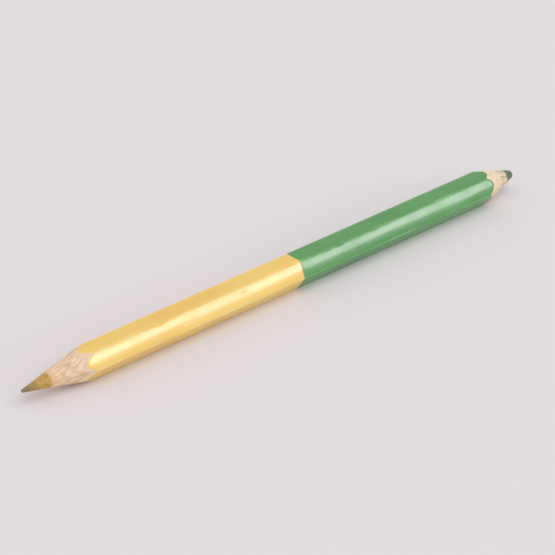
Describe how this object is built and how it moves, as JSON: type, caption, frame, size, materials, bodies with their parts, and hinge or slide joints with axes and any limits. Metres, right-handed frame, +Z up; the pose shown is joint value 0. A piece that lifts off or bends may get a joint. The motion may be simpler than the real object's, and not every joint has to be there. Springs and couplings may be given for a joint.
{
  "type": "two-colour pencil crayon",
  "caption": "Double-ended hexagonal pencil crayon with a wooden casing, yellow-orange on one half and green on the other, sharpened to a long point and a short blunt one.",
  "frame": {"origin": "under the middle of the crayon's length, on the flat of the barrel that it rests on", "axes": "+X along the crayon from the yellow tip to the green tip, +Z up, out of the flat opposite the one it rests on"},
  "size_m": [0.175, 0.009, 0.008],
  "materials": {
    "casing_wood": "bare, shaved softwood",
    "wood_glue": "matte",
    "yellow_wax_lead": "waxy, satin",
    "green_wax_lead": "waxy, satin",
    "pale_primer": "matte",
    "yellow_lacquer": "glossy lacquer",
    "green_lacquer": "glossy lacquer"
  },
  "bodies": {
    "root": {"upper_slat": "casing_wood", "lower_slat": "casing_wood", "glue_seam": "wood_glue", "yellow_lead": "yellow_wax_lead", "green_lead": "green_wax_lead", "ground_coat": "pale_primer", "yellow_lacquer": "yellow_lacquer", "green_lacquer": "green_lacquer"}
  },
  "joints": []
}
